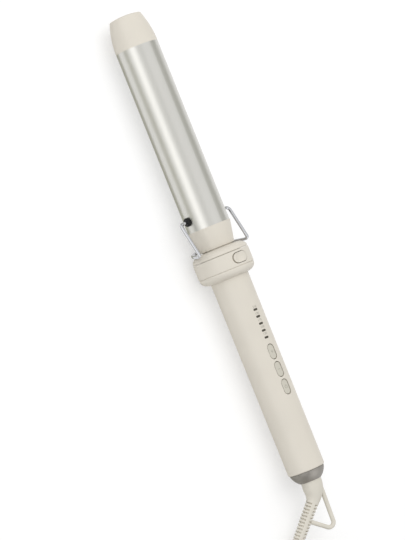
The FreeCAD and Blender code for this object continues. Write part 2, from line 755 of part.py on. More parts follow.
def key(k):
    x = key_place(k)
    skin = rod(x - KEY_LENGTH, 2 * KEY_LENGTH, handle_r(x) - KEY_RECESS)
    cap = stadium(x, KEY_FLOOR, KEY_LENGTH, KEY_WIDTH, HANDLE_R).common(skin)
    cap = cap.makeFillet(KEY_EDGE, [e for e in cap.Edges if e.BoundBox.ZMin > HANDLE_BORE_R])
    room = rod(x - KEY_LENGTH, 2 * KEY_LENGTH, HANDLE_BORE_R - SLIDE_GAP)
    flange_width = KEY_WIDTH + 2 * (KEY_MOAT + KEY_FLANGE)
    flange = block(x, 0, KEY_FLOOR, KEY_LENGTH - KEY_FLANGE_TRIM, flange_width, KEY_FLANGE_THICK)
    return cap.fuse(flange.common(room)).removeSplitter()


def indicator_lens():
    # One light guide: a strip inside the tube with a pillar up to each window
    top = HANDLE_BORE_R - LENS_SIT
    foot = math.sqrt(top ** 2 - (LENS_STRIP_WIDTH / 2) ** 2) - LENS_STRIP_THICK
    places = led_places()
    length = places[-1] - places[0] + LENS_STRIP_WIDTH
    x = (places[0] + places[-1]) / 2
    strip = block(x, 0, foot, length, LENS_STRIP_WIDTH, LENS_STRIP_THICK)
    pillar_foot = BOARD_TOP + DIODE_THICK + SLIDE_GAP
    pillars = []
    for place in places:
        skin = rod(place - LED_WIDTH, 2 * LED_WIDTH, handle_r(place) - LENS_SIT)
        pillar = across(place, pillar_foot, LED_LENGTH - 2 * FIT_GAP, LED_WIDTH - 2 * FIT_GAP,
                        HANDLE_R)
        pillars.append(pillar.common(skin))
    return strip.fuse(pillars).removeSplitter()


def indicator_diodes():
    return [block(x, 0, BOARD_TOP, DIODE_LENGTH / 2, DIODE_LENGTH, DIODE_THICK)
            for x in led_places()]


def boss_places():
    return [X_CHASSIS + BOSS_FROM_NECK, X_CHASSIS + CHASSIS_LENGTH - BOSS_FROM_TAIL]


def chassis():
    outer_r = HANDLE_BORE_R - FIT_GAP
    lower = block(X_CHASSIS + CHASSIS_LENGTH / 2, 0, -outer_r, CHASSIS_LENGTH, 2 * outer_r,
                  outer_r + BOARD_SEAT)
    trough = tube(X_CHASSIS, CHASSIS_LENGTH, outer_r, outer_r - CHASSIS_WALL).common(lower)
    foot = -outer_r + CHASSIS_WALL / 2
    bosses = [post(x, foot, BOARD_SEAT - foot, BOSS_R) for x in boss_places()]
    holes = [post(x, foot + CHASSIS_WALL, RING_R, SCREW_R + FIT_GAP) for x in boss_places()]
    return trough.fuse(bosses).removeSplitter().cut(holes)


def control_board():
    length = CHASSIS_LENGTH - 2 * BOARD_MARGIN
    board = block(X_CHASSIS + CHASSIS_LENGTH / 2, 0, BOARD_SEAT, length, BOARD_WIDTH, BOARD_THICK)
    return board.cut([post(x, BOARD_SEAT - OVERRUN, 2 * OVERRUN + BOARD_THICK, SCREW_R + FIT_GAP)
                      for x in boss_places()])


def board_screws():
    screws = []
    for x in boss_places():
        shank = post(x, BOARD_SEAT - SCREW_BITE, SCREW_BITE + BOARD_THICK + SCREW_HEAD / 2, SCREW_R)
        head = post(x, BOARD_TOP, SCREW_HEAD, SCREW_HEAD_R)
        screws.append(head.fuse(shank).removeSplitter())
    return screws


def tact_switches():
    switches = []
    for k in range(3):
        x = key_place(k)
        body = block(x, 0, BOARD_TOP, SWITCH_SIZE, SWITCH_SIZE, SWITCH_RISE - PLUNGER_OUT)
        switches.append(body.fuse(post(x, BOARD_TOP, SWITCH_RISE, PLUNGER_R)).removeSplitter())
    return switches


def tail_cap():
    seat = p(X_CAP, CAP_R - CAP_ROUND)
    rim = p(X_CAP + CAP_ROUND, CAP_R)
    bore_r = BOOT_R + BOOT_GAP
    end = p(X_END, bore_r + CAP_LIP_EDGE)
    inner = X_CAP - CAP_SPIGOT
    return turned(
        quarter(seat, p(X_CAP, CAP_R), rim),
        bulge(rim, end, CAP_BULGE),
        line(end, p(X_END, bore_r)),
        line(p(X_END, bore_r), p(X_LIP, bore_r)),
        line(p(X_LIP, bore_r), p(X_LIP, CAP_BORE_R)),
        line(p(X_LIP, CAP_BORE_R), p(inner, CAP_BORE_R)),
        line(p(inner, PLUG_IN_HANDLE_R), p(X_CAP, PLUG_IN_HANDLE_R)),
    )


def swivel_spindle():
    flange_r = CAP_BORE_R - BOOT_GAP
    shoulder = X_FLANGE - FLANGE_THICK
    return lathe(
        p(X_STEM, STEM_BORE_R), p(X_STEM, STEM_R), p(shoulder, STEM_R), p(shoulder, flange_r),
        p(X_FLANGE, flange_r), p(X_FLANGE, STEM_BORE_R),
    )


def slip_place(k):
    return X_STEM + SLIP_FROM_END + (SLIP_WIDTH + SLIP_SPACE) * k


def slip_rings():
    return [tube(slip_place(k), SLIP_WIDTH, STEM_R + SLIP_THICK, STEM_R) for k in range(2)]


def swivel_bush():
    return tube(X_DISC, BUSH_DISC, PLUG_IN_HANDLE_R, STEM_R + RUN_GAP)


def swivel_brushes():
    brushes = []
    for k, side in ((0, 1), (1, -1)):
        length = X_DISC - slip_place(k)
        z = STEM_R + SLIP_THICK + BRUSH_GAP
        blade = block(slip_place(k) + length / 2, 0, z, length, BRUSH_WIDTH, BRUSH_THICK)
        if side < 0:
            blade.rotate(V(), V(1, 0, 0), 180)
        brushes.append(blade)
    return brushes


def boot_along():
    bend = math.radians(BOOT_BEND)
    return V(math.cos(bend), -math.sin(bend), 0)


def boot_ribs_start():
    return V(X_END + BOOT_REACH, -BOOT_SWAY, 0)


def ribbed_sleeve():
    body = Part.makeCone(RIB_R, RIB_END_R, RIB_LENGTH, V(), V(1, 0, 0))
    slots = []
    for k in range(RIB_COUNT):
        x = RIB_PITCH * (k + 1) - RIB_SLOT
        groove = tube(x, RIB_SLOT, RIB_R + OVERRUN, RIB_CORE_R)
        bridge = block(x, 0, -RIB_R - OVERRUN, OVERRUN * 2, RIB_BRIDGE, 2 * (RIB_R + OVERRUN))
        slots.append(groove.cut(bridge))
    ribs = body.cut(slots)
    ribs.rotate(V(), V(0, 0, 1), -BOOT_BEND)
    ribs.translate(boot_ribs_start())
    return ribs


def boot_neck():
    rings = [Part.Wire(Part.Circle(V(X_FLANGE, 0, 0), V(1, 0, 0), BOOT_R).toShape())]
    for reach, sway, bend, taper in NECK_SHARES:
        angle = math.radians(BOOT_BEND * bend)
        centre = V(X_END + BOOT_REACH * reach, -BOOT_SWAY * sway, 0)
        r = RIB_R + (BOOT_R - RIB_R) * taper
        along = V(math.cos(angle), -math.sin(angle), 0)
        rings.append(Part.Wire(Part.Circle(centre, along, r).toShape()))
    straight = Part.makeLoft(rings[:2], True, True)
    return straight.fuse(Part.makeLoft(rings[1:], True, False)).removeSplitter()


def hanging_loop():
    points = [
        V(X_END + LOOP_ROOT, LOOP_ROOT_SIDE, 0),
        V(X_END + LOOP_CORNER, LOOP_CORNER_SIDE, 0),
        boot_ribs_start() + boot_along() * LOOP_ON_RIBS,
    ]
    return swept(rounded(points, [LOOP_CORNER_R]), LOOP_ROD_R)


def cord_boot():
    boot = boot_neck().fuse([ribbed_sleeve(), hanging_loop()]).removeSplitter()
    boot.rotate(V(), V(1, 0, 0), BOOT_ROLL)
    return boot


def boot_end():
    # Where the cord leaves the ribbed sleeve, and the way that it points
    roll = FreeCAD.Rotation(V(1, 0, 0), BOOT_ROLL)
    along = roll.multVec(boot_along())
    return roll.multVec(boot_ribs_start()) + along * RIB_LENGTH, along


def cord_tube(name, points):
    # An end run gives its whole length to one arc, a run between two arcs gives half to each
    runs = [b - a for a, b in zip(points, points[1:])]
    lengths = [run.Length for run in runs]
    lengths[0] *= 2
    lengths[-1] *= 2
    radii = []
    for k, (run, following) in enumerate(zip(runs, runs[1:])):
        turn = run.getAngle(following)
        radii.append(FILL_SHARE * min(lengths[k], lengths[k + 1]) / math.tan(turn / 2))
    path = rounded(points, radii)
    solid = swept(path, CORD_R)
    filled = solid.Volume / (math.pi * CORD_R ** 2 * path.Length)
    print(name, "length", round(path.Length, 1), "radii", [round(r) for r in radii],
          "volume share", round(filled, 4))
    return solid


def on_floor(route):
    return [V(x, y, FLOOR + height) for x, y, height in route]


def lead_points():
    exit_point, along = boot_end()
    return [exit_point, exit_point + along * LEAD_RUN] + on_floor(LEAD_ROUTE)


def coil_frame():
    # Centre of the turns, and the angle at which the cord joins them
    points = lead_points()
    heading = (points[-1] - points[-2])
    heading = V(heading.x, heading.y, 0).normalize()
    start = points[-1] + heading * (2 * CORD_R)
    inward = math.atan2(CORD_STEP / (2 * math.pi), COIL_OUTER_R)
    angle = math.atan2(heading.y, heading.x) - math.pi / 2 - inward
    centre = start - V(math.cos(angle), math.sin(angle), 0) * COIL_OUTER_R
    return points[-1], centre, angle


def coil_places():
    # Points and directions at every quarter turn: spiral in, climb, spiral out, climb and so on
    start, centre, angle = coil_frame()
    rate = CORD_STEP / (2 * math.pi)
    r = COIL_OUTER_R
    height = start.z
    way = -1
    places = []

    def add(turned_by, radius, outward, z, climb):
        a = angle + turned_by
        away = V(math.cos(a), math.sin(a), 0)
        round_way = V(-math.sin(a), math.cos(a), 0)
        along = away * outward + round_way * radius + V(0, 0, climb)
        places.append((V(centre.x, centre.y, z) + away * radius, along.normalize()))

    turned_by = 0
    add(turned_by, r, way * rate, height, 0)
    for layer, quarters in enumerate(COIL_QUARTERS):
        for k in range(quarters):
            turned_by += math.pi / 2
            r += way * rate * math.pi / 2
            add(turned_by, r, way * rate, height, 0)
        if layer < len(COIL_QUARTERS) - 1:
            add(turned_by + math.pi / 2, r + way * rate, 0, height + CORD_STEP / 2, CORD_STEP / 2)
            turned_by += math.pi
            height += CORD_STEP
            way = -way
            add(turned_by, r, way * rate, height, 0)
    return places


def least_gap(points, closest_steps):
    least = points[0].distanceToPoint(points[-1])
    for k, a in enumerate(points):
        for b in points[k + closest_steps:]:
            least = min(least, a.distanceToPoint(b))
    return least - 2 * CORD_R


def cord_coil():
    start = lead_points()[-1]
    places = coil_places()
    edges = [line(start, places[0][0])]
    for (a, along_a), (b, along_b) in zip(places, places[1:]):
        edges += biarc(a, along_a, b, along_b)
    last, along = places[-1]
    edges.append(line(last, last + along * (2 * CORD_R)))
    path = Part.Wire(edges)
    points = path.discretize(Distance=CORD_R)
    print("coil length", round(path.Length, 1), "least gap", round(least_gap(points, 12), 2))
    return swept(path, CORD_R)


def tail_points():
    last, along = coil_places()[-1]
    start = last + along * (2 * CORD_R)
    return [start, start + along * TAIL_RUN] + on_floor(TAIL_ROUTE)


def coil_tie(angle):
    # A flat band round the bundle of turns
    middle = coil_frame()[1]
    inner = COIL_INNER_R - CORD_STEP / (2 * math.pi) - CORD_R - TIE_GAP
    outer = COIL_OUTER_R + CORD_R + TIE_GAP
    rise = 2 * CORD_R + CORD_STEP * (len(COIL_QUARTERS) - 1) + 2 * TIE_GAP
    hole = block((inner + outer) / 2, 0, TIE_THICK, outer - inner, TIE_WIDTH + OVERRUN, rise)
    band = block((inner + outer) / 2, 0, 0, outer - inner + 2 * TIE_THICK, TIE_WIDTH,
                 rise + 2 * TIE_THICK)
    band = band.makeFillet(TIE_CORNER, [e for e in band.Edges if is_crosswise(e)])
    hole = hole.makeFillet(TIE_CORNER - TIE_THICK, [e for e in hole.Edges if is_crosswise(e)])
    tie = band.cut(hole)
    tie.rotate(V(), V(0, 0, 1), angle)
    tie.translate(V(middle.x, middle.y, FLOOR))
    return tie


def is_crosswise(edge):
    a, b = [vertex.Point for vertex in edge.Vertexes]
    return abs(b.y - a.y) > TIE_WIDTH / 2


def rounded_frame(centre, y, width, height, corner):
    # Upright rectangle with round corners, square to Y
    w = width / 2
    h = height / 2
    c = corner
    k = corner * (1 - math.sqrt(0.5))
    turns = [(1, 1), (-1, 1), (-1, -1), (1, -1)]
    edges = []
    for n, (sx, sz) in enumerate(turns):
        flat = V(centre.x + sx * (w - c), y, centre.z + sz * h)
        side = V(centre.x + sx * w, y, centre.z + sz * (h - c))
        via = V(centre.x + sx * (w - k), y, centre.z + sz * (h - k))
        a, b = (side, flat) if n % 2 == 0 else (flat, side)
        edges.append(arc(a, via, b))
    joined = []
    for edge, following in zip(edges, edges[1:] + edges[:1]):
        joined += [edge, line(edge.Vertexes[-1].Point, following.Vertexes[0].Point)]
    return Part.Wire(joined)


def plug_body():
    root = tail_points()[-1]
    sleeve = Part.makeCone(PLUG_SLEEVE_R, PLUG_REAR_THICK / 2, PLUG_SLEEVE, root, V(0, 1, 0))
    rear = root.y + PLUG_SLEEVE
    shoulder = rear + PLUG_SHOULDER
    face = shoulder + PLUG_FACE
    frames = [
        rounded_frame(root, rear, PLUG_REAR_WIDTH, PLUG_REAR_THICK, PLUG_CORNER),
        rounded_frame(root, shoulder, PLUG_WIDTH, PLUG_THICK, PLUG_CORNER),
        rounded_frame(root, face, PLUG_WIDTH, PLUG_THICK, PLUG_CORNER),
    ]
    body = Part.makeLoft(frames, True, True).fuse(sleeve).removeSplitter()
    return body.cut([Part.makeCylinder(PLUG_PIN_ROOT_R + FIT_GAP, PLUG_PIN_ROOT, foot, V(0, 1, 0))
                     for foot in plug_pin_feet()])


def plug_pin_feet():
    root = tail_points()[-1]
    y = root.y + PLUG_SLEEVE + PLUG_SHOULDER + PLUG_FACE - PLUG_PIN_ROOT
    return [V(root.x + side * PLUG_PIN_SPACING / 2, y, root.z) for side in (-1, 1)]


def plug_pins():
    pins = []
    for foot in plug_pin_feet():
        face = foot + V(0, PLUG_PIN_ROOT, 0)
        length = PLUG_PIN_LENGTH - PLUG_PIN_R
        shank = Part.makeCylinder(PLUG_PIN_R, length, face, V(0, 1, 0))
        root = Part.makeCylinder(PLUG_PIN_ROOT_R, PLUG_PIN_ROOT, foot, V(0, 1, 0))
        nose = Part.makeSphere(PLUG_PIN_R, face + V(0, length, 0))
        pins.append(shank.fuse([root, nose]).removeSplitter())
    return pins


def main():
    os.makedirs("parts", exist_ok=True)
    save("cool_tip", cool_tip())
    save("barrel_tube", barrel_tube())
    save("heater_shell_upper", heater_shell(0))
    save("heater_shell_lower", heater_shell(180))
    save("ptc_heater", ptc_heater())
    save("heat_sensor", heat_sensor(SENSOR_R, SENSOR_LENGTH, 1))
    save("thermal_fuse", heat_sensor(FUSE_R, FUSE_LENGTH, -1))
    save("barrel_cone", barrel_cone())
    save("head_collar", head_collar())
    save("head_screws", *head_screws())
    save("connector_block", connector_block())
    save("connector_pins", *connector_pins())
    save("stand_bushes", stand_bush(1), stand_bush(-1))
    save("stand_wire", stand_wire())
    save("lock_ring", lock_ring())
    save("release_button", release_button())
    save("release_springs", *release_springs())
    save("handle_neck", handle_neck())
    save("socket_contacts", *socket_contacts())
    save("handle_tube", handle_tube())
    save("plus_button", key(0))
    save("minus_button", key(1))
    save("power_button", key(2))
    save("indicator_lens", indicator_lens())
    save("indicator_diodes", *indicator_diodes())
    save("chassis", chassis())
    save("control_board", control_board())
    save("board_screws", *board_screws())
    save("tact_switches", *tact_switches())
    save("tail_cap", tail_cap())
    save("swivel_bush", swivel_bush())
    save("swivel_brushes", *swivel_brushes())
    save("swivel_spindle", swivel_spindle())
    save("slip_rings", *slip_rings())
    save("cord_boot", cord_boot())
    save("cord_lead", cord_tube("lead", lead_points()))
    save("cord_coil", cord_coil())
    save("cord_tail", cord_tube("tail", tail_points()))
    save("coil_ties", *[coil_tie(angle) for angle in TIE_ANGLES])
    save("plug_body", plug_body())
    save("plug_pins", *plug_pins())


main()
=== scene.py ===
# %% [markdown]
# # Multi hair styler
# A heated metal barrel with a folding wire rest, a quick release collar, a slim handle with three keys and five
# lights, and a mains cord that swivels in the handle's end. The imported CAD model already gives every rigid piece its
# shape, its place and its joint. Blender adds what a drawing can't hold: the finish of each surface, the printed
# marks, the cord at its real length, the studio and the camera.

# %% Load the imported model
import json
import math

import bmesh
import bpy
from mathutils import Matrix, Vector

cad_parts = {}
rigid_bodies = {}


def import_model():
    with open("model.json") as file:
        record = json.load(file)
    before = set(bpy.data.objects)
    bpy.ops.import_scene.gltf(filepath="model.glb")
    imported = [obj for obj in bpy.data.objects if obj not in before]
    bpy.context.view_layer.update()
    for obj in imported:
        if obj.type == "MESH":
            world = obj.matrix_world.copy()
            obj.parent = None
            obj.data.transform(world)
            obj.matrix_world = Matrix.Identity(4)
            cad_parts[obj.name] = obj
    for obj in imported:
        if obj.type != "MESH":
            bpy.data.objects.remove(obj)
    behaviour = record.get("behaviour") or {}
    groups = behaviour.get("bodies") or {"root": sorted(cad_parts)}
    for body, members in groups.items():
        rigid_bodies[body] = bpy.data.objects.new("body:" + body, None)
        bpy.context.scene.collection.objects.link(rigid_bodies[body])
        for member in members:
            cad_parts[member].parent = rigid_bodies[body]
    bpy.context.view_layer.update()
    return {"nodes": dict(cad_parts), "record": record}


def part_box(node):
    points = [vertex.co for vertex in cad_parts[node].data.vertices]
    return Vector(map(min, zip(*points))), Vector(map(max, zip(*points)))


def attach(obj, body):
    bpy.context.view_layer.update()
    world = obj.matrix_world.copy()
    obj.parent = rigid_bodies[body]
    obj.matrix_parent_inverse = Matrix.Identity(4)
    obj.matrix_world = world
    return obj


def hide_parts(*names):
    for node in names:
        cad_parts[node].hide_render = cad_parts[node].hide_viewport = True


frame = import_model()
nodes = frame["nodes"]
MM = 0.001

barrel_low, barrel_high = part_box("barrel_tube")
handle_low, handle_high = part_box("handle_tube")
axis_z = (barrel_low.z + barrel_high.z) / 2
print(len(nodes), "pieces, axis", round(axis_z / MM, 2), "mm above the floor")

# %% [markdown]
# ## Camera
# The photograph looks down on the styler at 51 degrees, square to its length, from almost two metres away: at that
# distance a long lens keeps both sides of the barrel nearly parallel. The picture is then turned by 22 degrees, so
# that the tip points to the upper left. A camera looks along its own -Z with +Y up, so its matrix is built from three
# directions: right, up and back.

# %% Place the camera
ELEVATION = math.radians(51.0)
ROLL = math.radians(21.9)
CAMERA_DISTANCE = 1.86
LENS = 172
SENSOR_WIDTH = 36
PICTURE_ALONG = 10.65 * MM
PICTURE_ACROSS = -15.8 * MM

tipwards = Vector((-1, 0, 0))
uphill = Vector((0, math.sin(ELEVATION), math.cos(ELEVATION)))
back = Vector((0, -math.cos(ELEVATION), math.sin(ELEVATION)))
up = tipwards * math.cos(ROLL) + uphill * math.sin(ROLL)
right = uphill * math.cos(ROLL) - tipwards * math.sin(ROLL)
target = Vector((PICTURE_ALONG, 0, axis_z)) + uphill * PICTURE_ACROSS

lens = bpy.data.cameras.new("picture_camera")
lens.lens = LENS
lens.sensor_width = SENSOR_WIDTH
camera = bpy.data.objects.new("picture_camera", lens)
bpy.context.collection.objects.link(camera)
turn = Matrix((right, up, back)).transposed().to_4x4()
camera.matrix_world = Matrix.Translation(target + back * CAMERA_DISTANCE) @ turn
bpy.context.scene.camera = camera
print("camera at", [round(v, 3) for v in camera.location])

# %% [markdown]
# ## Tools for materials
# Colours are written as the hex values that a picture editor shows. Blender's shaders work in linear light, so one
# function converts them. A second one adds a node to a tree, sets what it is given and links what is already a
# socket. A third makes noise that swings between two values. The last makes a finish: a shader with plain values on
# its sockets, and two layers of noise over it. The fine layer is the surface's grain, a relief that also spreads the
# roughness a little. The broad layer shifts the tone by a few percent over centimetres, as a moulding or a plated
# wire does. Object coordinates are metres here, so a scale of one over the spacing gives the pattern its real size on
# every piece. Noise seldom leaves its middle range, so that range is stretched to the two values.

# %% Colour and node tools
TONE_SPACING = 25.0
NOISE_DETAIL = 2.0
NOISE_LOW, NOISE_HIGH = 0.3, 0.7


def linear(colour):
    channels = [int(colour[k:k + 2], 16) / 255 for k in (1, 3, 5)]
    return [c / 12.92 if c <= 0.04045 else ((c + 0.055) / 1.055) ** 2.4 for c in channels] + [1]


def add_node(tree, kind, inputs=(), **settings):
    node = tree.nodes.new(kind)
    for name, value in settings.items():
        setattr(node, name, value)
    for name, value in dict(inputs).items():
        if isinstance(value, bpy.types.NodeSocket):
            tree.links.new(value, node.inputs[name])
        else:
            node.inputs[name].default_value = value
    return node


def noise_between(tree, spacing, low, high, stretch=(1, 1, 1)):
    place = add_node(tree, "ShaderNodeTexCoord").outputs["Object"]
    scaled = add_node(tree, "ShaderNodeMapping", {"Vector": place, "Scale": stretch}).outputs["Vector"]
    noise = add_node(tree, "ShaderNodeTexNoise", {"Vector": scaled, "Scale": 1 / (spacing * MM),
                                                  "Detail": NOISE_DETAIL}).outputs["Fac"]
    return add_node(tree, "ShaderNodeMapRange", {"Value": noise, "From Min": NOISE_LOW, "From Max": NOISE_HIGH,
                                                 "To Min": low, "To Max": high}).outputs["Result"]


def finish_of(name, colour, roughness, spacing, relief, spread=0.15, tone=0.02, stretch=(1, 1, 1), **sockets):
    # Spacing and relief of the grain in millimetres, spread of the roughness and of the tone as shares
    material = bpy.data.materials.new(name)
    material.use_nodes = True
    tree = material.node_tree
    shader = tree.nodes["Principled BSDF"]
    for socket, value in sockets.items():
        shader.inputs[socket.replace("_", " ")].default_value = value
    shift = noise_between(tree, TONE_SPACING, 1 - tone, 1 + tone)
    toned = add_node(tree, "ShaderNodeHueSaturation", {"Color": linear(colour), "Value": shift}).outputs["Color"]
    grain = noise_between(tree, spacing, 0, 1, stretch)
    rough = add_node(tree, "ShaderNodeMapRange", {"Value": grain, "To Min": roughness * (1 - spread),
                                                  "To Max": roughness * (1 + spread)}).outputs["Result"]
    bump = add_node(tree, "ShaderNodeBump", {"Height": grain, "Distance": relief * MM, "Strength": 1.0})
    tree.links.new(toned, shader.inputs["Base Color"])
    tree.links.new(rough, shader.inputs["Roughness"])
    tree.links.new(bump.outputs["Normal"], shader.inputs["Normal"])
    return material


print("linear mid grey", round(linear("#808080")[0], 3))

# %% [markdown]
# ## Plastic finishes
# The body is moulded ABS in a warm cream: a dielectric with an IOR near 1.5 and a fine spark-eroded grain, so its
# highlights are broad and soft. The bushes are glossy black nylon, the tail cap is ABS with a satin grey coat, and the
# cord is soft PVC. The grain of such a mould is about 0.1 mm, too fine to show at this distance, so it is drawn three
# to eight times as coarse.

# %% Make the plastics
# Moulded ABS: a soft satin that spreads highlights until they are hardly seen
cream = finish_of("cream_moulded_abs", "#DBD5C9", 0.5, spacing=0.4, relief=0.006, IOR=1.53)
# The keys are moulded a shade greyer and rougher, so they stand out without a shine
key_cream = finish_of("key_moulded_abs", "#C9C5B8", 0.55, spacing=0.4, relief=0.008, IOR=1.53)
# Glossy nylon: deep black with one small bright spot
black = finish_of("black_moulded_nylon", "#0C0C0C", 0.16, spacing=0.6, relief=0.004, tone=0.1, IOR=1.53,
                  Specular_IOR_Level=0.25)
# Satin coat with metal flakes: a grey that brightens a little where it faces the light
cap_grey = finish_of("satin_grey_coated_abs", "#938F89", 0.45, spacing=0.2, relief=0.004, tone=0.03, Metallic=0.6)
# Moulded acetal: waxy off-white with a low sheen
spindle = finish_of("moulded_acetal", "#D8D5CC", 0.4, spacing=0.5, relief=0.004, IOR=1.48)
# Soft PVC: matter than the body, with a faint unevenness from the extruder
pvc = finish_of("cream_soft_pvc", "#D8D3C7", 0.55, spacing=0.8, relief=0.015, tone=0.03, IOR=1.53)
# Moulded PVC of the plug: the cord's colour, a little smoother
plug_cream = finish_of("plug_moulded_pvc", "#D8D3C7", 0.5, spacing=0.6, relief=0.01, IOR=1.53)
# Smoked acrylic: dark windows with a clean gloss
smoked = finish_of("smoked_acrylic", "#4A463B", 0.14, spacing=0.8, relief=0.002, IOR=1.49)
# Clear epoxy over a pale chip: a milky gloss
diode = finish_of("clear_diode_epoxy", "#E8E6DA", 0.2, spacing=0.8, relief=0.002, IOR=1.5)
print(len(bpy.data.materials), "plastics")

# %% [markdown]
# ## Metals, ceramic, board and ink
# The barrel is aluminium, polished and anodised to a warm silver. A metal has no diffuse colour, so its look comes
# from what it mirrors, blurred by its roughness, and its IOR stays as it is. The stand is chrome plate on drawn wire.
# Where a tube is drawn through a die, the grain is stretched along the way that it was drawn. Scratches of 0.02 mm
# would be too fine to show, so they are drawn 0.3 mm apart and very shallow.

# %% Make the metals and the rest
DRAWN = (0.08, 1, 1)
# Anodised aluminium: long soft bands of the room, warm silver
barrel_metal = finish_of("warm_anodised_aluminium", "#D4D3CE", 0.34, spacing=0.3, relief=0.0003, spread=0.04,
                         tone=0.01, stretch=DRAWN, Metallic=1.0)
# Extruded aluminium: duller, with lines along its length
shell_metal = finish_of("extruded_aluminium", "#C2C3C5", 0.4, spacing=0.4, relief=0.01, stretch=DRAWN, Metallic=1.0)
# Chrome plate: a cold mirror that is only slightly wavy
chrome = finish_of("chrome_plated_wire", "#CDCED2", 0.08, spacing=1.5, relief=0.003, tone=0.03, Metallic=1.0)
# Zinc plate: a grey metal with a cloudy sheen
steel = finish_of("zinc_plated_steel", "#B4B5B7", 0.3, spacing=0.3, relief=0.004, tone=0.05, Metallic=1.0)
# Bare brass: yellow, with patches that have dulled
brass = finish_of("bare_contact_brass", "#D9B76A", 0.25, spacing=0.3, relief=0.004, tone=0.05, Metallic=1.0)
# Nickel plate on brass: a warm bright grey
nickel = finish_of("nickel_plated_brass", "#CDCAC2", 0.18, spacing=0.4, relief=0.003, tone=0.03, Metallic=1.0)
# Glazed alumina: white with a hard, slightly blurred gloss
ceramic = finish_of("glazed_alumina", "#E6E3DA", 0.3, spacing=0.3, relief=0.004, IOR=1.6)
# Solder lacquer over woven glass: dark green and glossy, a little uneven
board = finish_of("lacquered_circuit_board", "#1F5A33", 0.35, spacing=0.5, relief=0.006, tone=0.06, IOR=1.55)
# Pad-printed ink: a flat pale grey with no shine
ink = finish_of("pale_grey_ink", "#A29E92", 0.6, spacing=0.2, relief=0.002, IOR=1.5)
print(len(bpy.data.materials), "materials in all")

# %% [markdown]
# ## A finish for every piece
# The record names a material slot for each piece, so one table from slot to finish dresses the whole model. Only the
# keys differ from the rest of their slot.

# %% Put the finishes on
FINISHES = {
    "cream_plastic": cream, "barrel_metal": barrel_metal, "shell_metal": shell_metal, "ceramic": ceramic,
    "black_plastic": black, "chrome_wire": chrome, "screw_steel": steel, "contact_brass": brass, "lens": smoked,
    "diode": diode, "board": board, "cap_grey": cap_grey, "spindle_plastic": spindle, "cord_sheath": pvc,
    "plug_plastic": plug_cream, "plug_metal": nickel,
}
KEYS = ("plus_button", "minus_button", "power_button")
for row in frame["record"]["subparts"]:
    faces = nodes[row["node"]].data
    faces.materials.clear()
    faces.materials.append(key_cream if row["node"] in KEYS else FINISHES[row["material_slot"]])
print(len(bpy.data.materials), "materials on", len(nodes), "pieces")

# %% [markdown]
# ## Printed marks
# Ink has next to no thickness, so a mark is a flat mesh, drawn in millimetres with its top towards +Y and then wrapped
# round the axis: its width becomes an angle, and its top turns towards the tip. It floats a few hundredths of a
# millimetre off the plastic, which is enough to keep the two surfaces apart. The numerals come from a text object that
# is made a mesh first. Each key's mark rides on its own key, so it sinks with it.

# %% Print the numerals
INK_LIFT = 0.03
HANDLE_TAPER = 0.35
NUMERALS = ("210", "190", "170", "150", "130")
DIODE_LENGTH = 1.6
NUMERAL_HEIGHT = 1.7
NUMERAL_OFFSET = 2.6


def light_places():
    low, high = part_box("indicator_diodes")
    first, last = low.x / MM + DIODE_LENGTH / 2, high.x / MM - DIODE_LENGTH / 2
    pitch = (last - first) / (len(NUMERALS) - 1)
    return [first + pitch * k for k in range(len(NUMERALS))]


def handle_radius(x):
    share = (x * MM - handle_low.x) / (handle_high.x - handle_low.x)
    return (handle_high.z - axis_z) / MM - HANDLE_TAPER * share


def wrap(drawing, x, radius):
    for vert in drawing.verts:
        angle = vert.co.x / radius
        across, height = radius * math.sin(angle), radius * math.cos(angle)
        vert.co = Vector(((x - vert.co.y) * MM, across * MM, axis_z + height * MM))


def add_mark(name, drawings, body):
    sheet = bmesh.new()
    for drawing in drawings:
        flat = bpy.data.meshes.new(name)
        drawing.to_mesh(flat)
        drawing.free()
        sheet.from_mesh(flat)
        bpy.data.meshes.remove(flat)
    data = bpy.data.meshes.new(name)
    sheet.to_mesh(data)
    sheet.free()
    data.materials.append(ink)
    mark = bpy.data.objects.new(name, data)
    bpy.context.collection.objects.link(mark)
    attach(mark, body)


def numeral(body, height):
    letters = bpy.data.curves.new("numeral", "FONT")
    letters.body = body
    letters.align_x, letters.align_y = "CENTER", "CENTER"
    words = bpy.data.objects.new("numeral", letters)
    flat = bpy.data.meshes.new_from_object(words)
    drawing = bmesh.new()
    drawing.from_mesh(flat)
    for spare, kept in ((words, bpy.data.objects), (letters, bpy.data.curves), (flat, bpy.data.meshes)):
        kept.remove(spare)
    rows = [vert.co.y for vert in drawing.verts]
    middle = Vector((0, -(max(rows) + min(rows)) / 2, 0))
    bmesh.ops.translate(drawing, verts=drawing.verts, vec=middle)
    bmesh.ops.scale(drawing, verts=drawing.verts, vec=Vector((1, 1, 1)) * height / (max(rows) - min(rows)))
    return drawing


drawings = []
for body, light in zip(NUMERALS, light_places()):
    drawing = numeral(body, NUMERAL_HEIGHT)
    station = light - NUMERAL_OFFSET
    wrap(drawing, station, handle_radius(station) + INK_LIFT)
    drawings.append(drawing)
add_mark("temperature_numerals", drawings, "handle")
print(len(drawings), "numerals beside the lights at", [round(place, 2) for place in light_places()])

# %% Print the key marks
KEY_RECESS = 0.25
MARK_HALF = 1.1
STROKE = 0.32
RING_GAP = math.radians(70)
RING_STEPS = 24
POWER_BAR_MIDDLE = 0.75 * MARK_HALF


